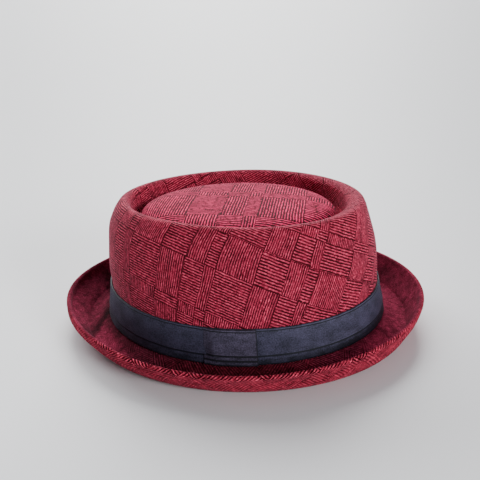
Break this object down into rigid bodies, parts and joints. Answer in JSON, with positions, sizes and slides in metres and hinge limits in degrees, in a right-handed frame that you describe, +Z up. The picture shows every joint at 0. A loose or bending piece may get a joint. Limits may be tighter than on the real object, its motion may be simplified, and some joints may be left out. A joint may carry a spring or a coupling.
{
  "type": "pork pie hat",
  "caption": "Soft cloth pork pie hat: telescoped flat crown in a striped parquet check, plain pleated band with a lap, and a narrow brim turned up all round.",
  "frame": {"origin": "middle of the brim's box on the surface that the hat rests on", "axes": "+Z up out of the crown; -Y to the front of the hat and +Y to its back, along its length; +X to the wearer's left, the side with the band's lap"},
  "size_m": [0.2286, 0.261, 0.0915],
  "materials": {
    "crown": "matt red and black striped parquet check with a soft nap",
    "brim": "matt red and black striped check with a soft nap",
    "band": "matt dark blue-grey cotton, pleated",
    "band_tab": "matt dark purple-grey cotton, pleated"
  },
  "bodies": {
    "root": {"crown": "crown", "brim": "brim", "band": "band", "band_tab": "band_tab"}
  },
  "joints": []
}
